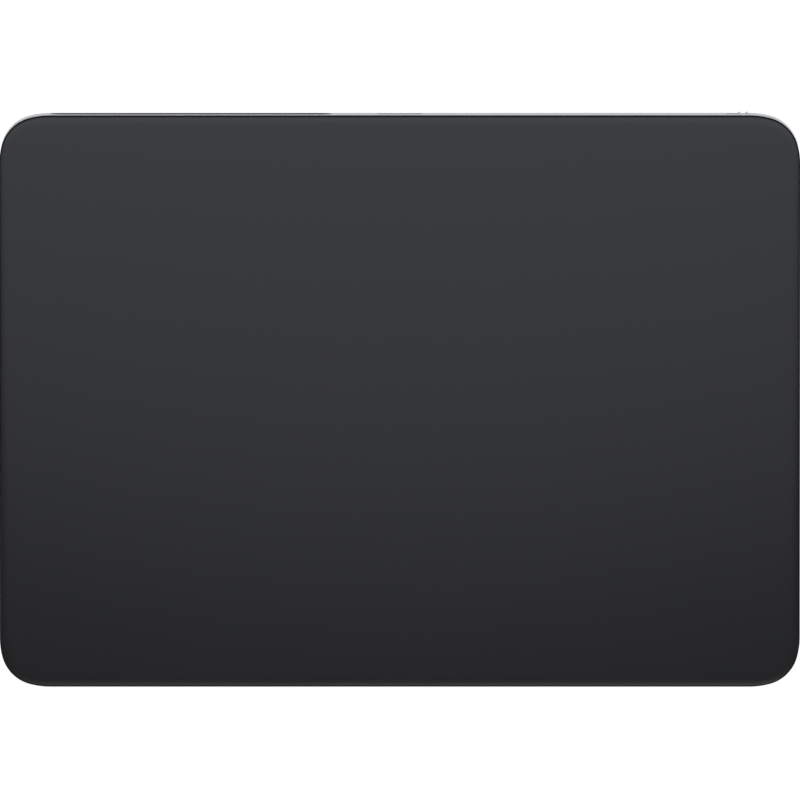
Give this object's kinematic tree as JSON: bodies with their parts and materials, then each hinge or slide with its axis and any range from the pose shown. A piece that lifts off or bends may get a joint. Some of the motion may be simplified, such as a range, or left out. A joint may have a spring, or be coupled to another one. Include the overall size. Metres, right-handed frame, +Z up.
{
  "type": "trackpad",
  "caption": "Low aluminium wedge under one sheet of matte black glass, with force-sensing feet, a haptic engine, a rear charging port, a radio window and a sliding power switch.",
  "frame": {"origin": "on the desk under the middle of the trackpad", "axes": "+X is the right side seen by the user, +Y is the rear edge with the port, +Z is up"},
  "size_m": [0.16, 0.1153, 0.0109],
  "materials": {
    "black_glass": "fine etched matte black glass",
    "adhesive": "black bonding sheet",
    "circuit_board": "black solder mask",
    "chip": "moulded epoxy",
    "flat_cable": "polyimide film",
    "anodised_aluminium": "bead blasted, clear anodised",
    "radio_window": "grey fine-textured plastic",
    "cover_aluminium": "bead blasted, clear anodised",
    "port_steel": "plain stainless steel",
    "port_plastic": "black moulding",
    "gold_contacts": "gold plated",
    "screw_steel": "black-nickel steel",
    "shield_steel": "tinned sheet steel",
    "connector_plastic": "black moulding",
    "antenna_plastic": "black moulding",
    "copper": "enamelled copper wire",
    "battery_foil": "black laminated foil pouch",
    "foam": "soft closed-cell foam",
    "knob_aluminium": "bead blasted, clear anodised",
    "carrier_plastic": "grey moulding",
    "green_flag": "green film",
    "frame_steel": "folded sheet steel",
    "core_steel": "laminated soft iron",
    "armature_steel": "ground steel",
    "magnet": "nickel plated magnet",
    "spring_steel": "spring steel strip",
    "gauge_film": "foil gauge on film",
    "flexure_steel": "stainless spring steel",
    "foot_rubber": "grey silicone rubber",
    "plunger_steel": "turned stainless steel"
  },
  "bodies": {
    "case": {"glass_top": "black_glass", "glass_adhesive": "adhesive", "touch_sensor_board": "circuit_board", "touch_controller_chips": "chip", "touch_flex": "flat_cable", "enclosure": "anodised_aluminium", "rf_window": "radio_window", "bottom_cover": "cover_aluminium", "cover_adhesive": "adhesive", "usb_c_shell": "port_steel", "usb_c_tongue": "port_plastic", "usb_c_contacts": "gold_contacts", "port_bracket": "port_steel", "port_screws": "screw_steel", "logic_board": "circuit_board", "shield_cans": "shield_steel", "logic_chips": "chip", "board_connectors": "connector_plastic", "board_screws": "screw_steel", "antenna_carrier": "antenna_plastic", "antenna_trace": "copper", "battery_cell": "battery_foil", "battery_board": "circuit_board", "battery_lead": "flat_cable", "battery_tapes": "adhesive", "foam_pads": "foam", "switch_board": "circuit_board", "switch_housing": "connector_plastic", "switch_flex": "flat_cable", "switch_screws": "screw_steel", "haptic_frame": "frame_steel", "haptic_coils": "copper", "haptic_cores": "core_steel", "haptic_springs": "spring_steel", "haptic_screws": "screw_steel", "haptic_flex": "flat_cable", "strain_gauges": "gauge_film", "flexure_screws": "screw_steel", "gauge_flexes": "flat_cable", "flexure_rear_right": "flexure_steel", "flexure_rear_left": "flexure_steel", "flexure_front_right": "flexure_steel", "flexure_front_left": "flexure_steel"},
    "power_switch": {"switch_knob": "knob_aluminium", "switch_carrier": "carrier_plastic", "switch_flag": "green_flag"},
    "haptic_mover": {"haptic_armature": "armature_steel", "haptic_magnets": "magnet"},
    "foot_rear_right": {"foot_pad_rear_right": "foot_rubber", "foot_plunger_rear_right": "plunger_steel"},
    "foot_rear_left": {"foot_pad_rear_left": "foot_rubber", "foot_plunger_rear_left": "plunger_steel"},
    "foot_front_right": {"foot_pad_front_right": "foot_rubber", "foot_plunger_front_right": "plunger_steel"},
    "foot_front_left": {"foot_pad_front_left": "foot_rubber", "foot_plunger_front_left": "plunger_steel"}
  },
  "joints": [
    {"name": "power_switch_slide", "type": "slide", "parent": "case", "child": "power_switch", "axis": [-1, 0, 0], "range_m": [0, 0.0023]},
    {"name": "haptic_shake", "type": "slide", "parent": "case", "child": "haptic_mover", "axis": [1, 0, 0], "range_m": [-0.0003, 0.0003], "stiffness_N_per_m": 6000, "deforming": ["haptic_springs"]},
    {"name": "foot_press_rear_right", "type": "slide", "parent": "case", "child": "foot_rear_right", "axis": [0, 0, 1], "range_m": [0, 0.0002], "stiffness_N_per_m": 12000, "deforming": ["flexure_rear_right"]},
    {"name": "foot_press_rear_left", "type": "slide", "parent": "case", "child": "foot_rear_left", "axis": [0, 0, 1], "range_m": [0, 0.0002], "stiffness_N_per_m": 12000, "deforming": ["flexure_rear_left"]},
    {"name": "foot_press_front_right", "type": "slide", "parent": "case", "child": "foot_front_right", "axis": [0, 0, 1], "range_m": [0, 0.0002], "stiffness_N_per_m": 12000, "deforming": ["flexure_front_right"]},
    {"name": "foot_press_front_left", "type": "slide", "parent": "case", "child": "foot_front_left", "axis": [0, 0, 1], "range_m": [0, 0.0002], "stiffness_N_per_m": 12000, "deforming": ["flexure_front_left"]}
  ]
}
